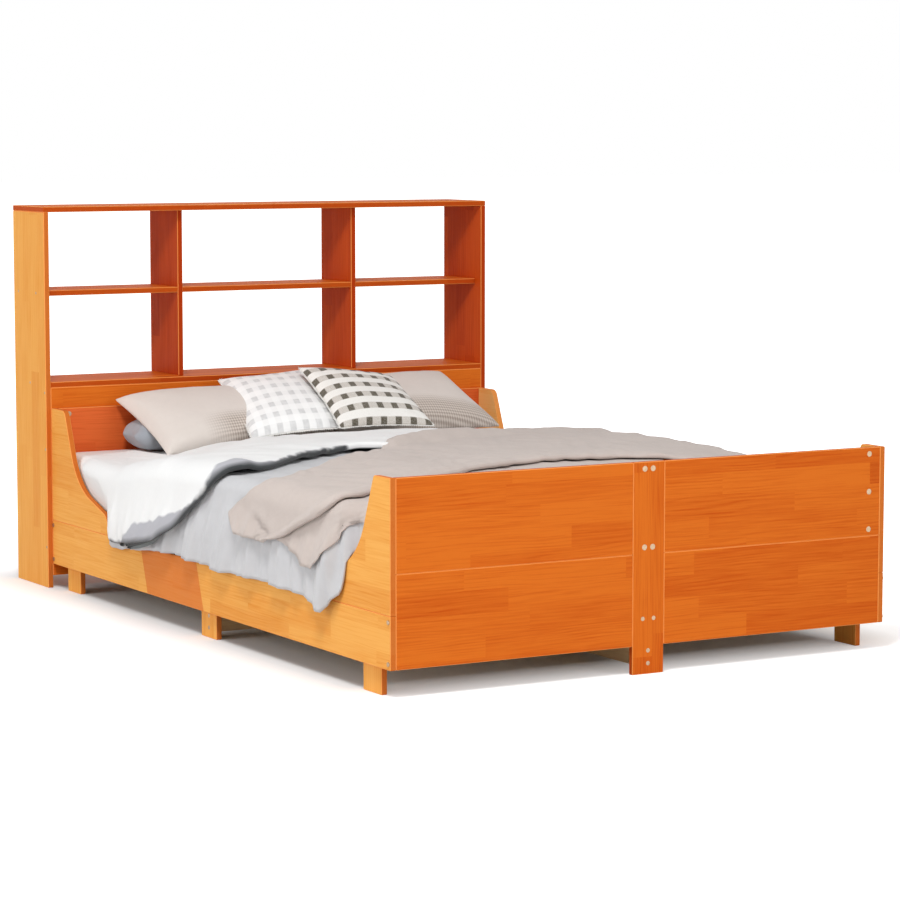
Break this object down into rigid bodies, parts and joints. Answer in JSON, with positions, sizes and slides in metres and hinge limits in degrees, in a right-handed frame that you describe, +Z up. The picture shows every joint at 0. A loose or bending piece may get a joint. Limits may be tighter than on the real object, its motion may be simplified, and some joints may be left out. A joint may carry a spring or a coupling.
{
  "type": "bookcase headboard bed",
  "caption": "Double bed of orange-stained pine boards with an open bookcase headboard, swept side wings, boarded foot end, slatted base and layered bedding with cushions",
  "frame": {"origin": "on the floor, under the middle of the overall width and length", "axes": "+X to the right of someone who stands at the foot, +Y from the foot towards the bookcase, +Z up"},
  "size_m": [1.487, 2.298, 1.116],
  "materials": {
    "orange_pine": "oil wax, satin",
    "plain_pine": "planed, uncoated",
    "beech": "plain",
    "zinc_steel": "zinc plated, satin",
    "white_cotton": "plain weave, matte",
    "grey_cotton": "plain weave, matte",
    "taupe_cover": "brushed cotton, matte",
    "slate_velvet": "short pile, soft sheen",
    "taupe_linen": "linen weave, matte",
    "pale_gingham": "woven gingham, matte",
    "black_check": "woven check, matte"
  },
  "bodies": {
    "root": {"barrel_nuts": "zinc_steel", "base_bolts": "zinc_steel", "bookcase_divider_left": "orange_pine", "bookcase_divider_right": "orange_pine", "bookcase_front_panel": "orange_pine", "bookcase_low_shelf": "orange_pine", "bookcase_screws": "zinc_steel", "bookcase_shelf_centre": "orange_pine", "bookcase_shelf_left": "orange_pine", "bookcase_shelf_right": "orange_pine", "bookcase_side_left": "orange_pine", "bookcase_side_right": "orange_pine", "bookcase_top_left": "orange_pine", "bookcase_top_right": "orange_pine", "cam_locks": "zinc_steel", "cam_pins": "zinc_steel", "centre_beam": "plain_pine", "centre_ledger_left": "plain_pine", "centre_ledger_right": "plain_pine", "centre_leg_left": "plain_pine", "centre_leg_right": "plain_pine", "corner_bolts": "zinc_steel", "cross_board": "plain_pine", "cushion_check": "black_check", "cushion_gingham": "pale_gingham", "dowels": "beech", "duvet": "grey_cotton", "foot_leg_left": "orange_pine", "foot_leg_right": "orange_pine", "foot_wing_left": "orange_pine", "foot_wing_right": "orange_pine", "footboard_lower_left": "orange_pine", "footboard_lower_right": "orange_pine", "footboard_post": "orange_pine", "footboard_upper_left": "orange_pine", "footboard_upper_right": "orange_pine", "head_leg_left": "orange_pine", "head_leg_right": "orange_pine", "head_wing_left": "orange_pine", "head_wing_right": "orange_pine", "headboard_lower_left": "orange_pine", "headboard_lower_right": "orange_pine", "headboard_post": "orange_pine", "headboard_upper_left": "orange_pine", "headboard_upper_right": "orange_pine", "mattress": "white_cotton", "middle_leg_left": "orange_pine", "middle_leg_right": "orange_pine", "pillow_grey": "slate_velvet", "pillow_taupe_left": "taupe_linen", "pillow_taupe_right": "taupe_linen", "side_ledger_foot_left": "plain_pine", "side_ledger_foot_right": "plain_pine", "side_ledger_head_left": "plain_pine", "side_ledger_head_right": "plain_pine", "side_rail_left": "orange_pine", "side_rail_right": "orange_pine", "slats_left": "plain_pine", "slats_right": "plain_pine", "throw": "taupe_cover"}
  },
  "joints": []
}
